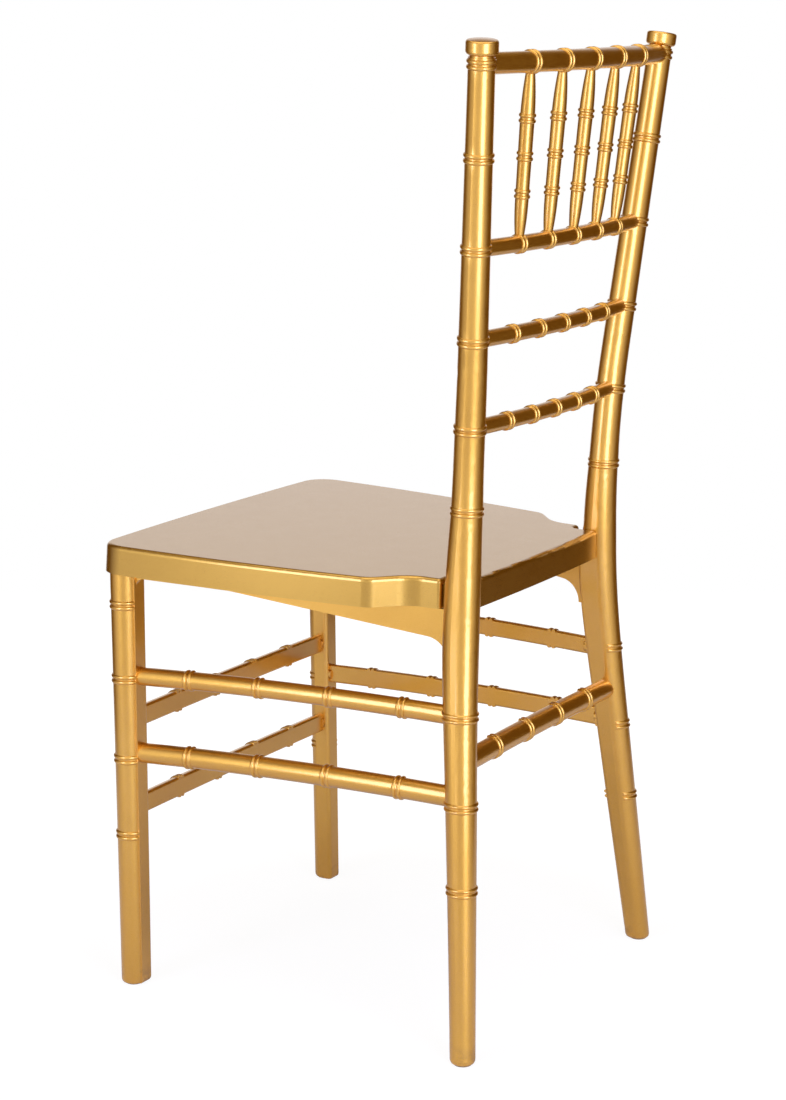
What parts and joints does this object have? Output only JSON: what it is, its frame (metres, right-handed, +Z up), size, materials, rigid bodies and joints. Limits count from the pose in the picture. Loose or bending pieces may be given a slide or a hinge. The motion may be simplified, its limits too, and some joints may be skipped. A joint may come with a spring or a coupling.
{
  "type": "chiavari dining chair",
  "caption": "Slim stacking dining chair of gold-painted moulded resin with ringed legs and rails, a bowed ladder back with turned spindles and a flat seat with a deep skirt.",
  "frame": {"origin": "on the floor, under the middle of the chair's overall box", "axes": "+Z up, the sitter faces -Y, the back is towards +Y, +X is the side on the sitter's left"},
  "size_m": [0.3952, 0.4368, 0.9214],
  "materials": {
    "gold_frame": "satin metallic paint",
    "gold_seat": "satin metallic paint",
    "screw": "zinc plated",
    "glide": "plain"
  },
  "bodies": {
    "root": {"back_post_left": "gold_frame", "back_post_right": "gold_frame", "post_cap_left": "gold_frame", "post_cap_right": "gold_frame", "front_leg_left": "gold_frame", "front_leg_right": "gold_frame", "side_rail_left": "gold_frame", "side_rail_right": "gold_frame", "side_stretcher_upper_left": "gold_frame", "side_stretcher_upper_right": "gold_frame", "side_stretcher_lower_left": "gold_frame", "side_stretcher_lower_right": "gold_frame", "front_stretcher_upper": "gold_frame", "front_stretcher_lower": "gold_frame", "rear_stretcher": "gold_frame", "front_seat_rail": "gold_frame", "rear_seat_rail": "gold_frame", "top_rail": "gold_frame", "spindle_rail": "gold_frame", "ladder_rail_upper": "gold_frame", "ladder_rail_lower": "gold_frame", "spindle_1": "gold_frame", "spindle_2": "gold_frame", "spindle_3": "gold_frame", "spindle_4": "gold_frame", "spindle_5": "gold_frame", "seat": "gold_seat", "seat_screws": "screw", "foot_glide_front_left": "glide", "foot_glide_front_right": "glide", "foot_glide_rear_left": "glide", "foot_glide_rear_right": "glide"}
  },
  "joints": []
}
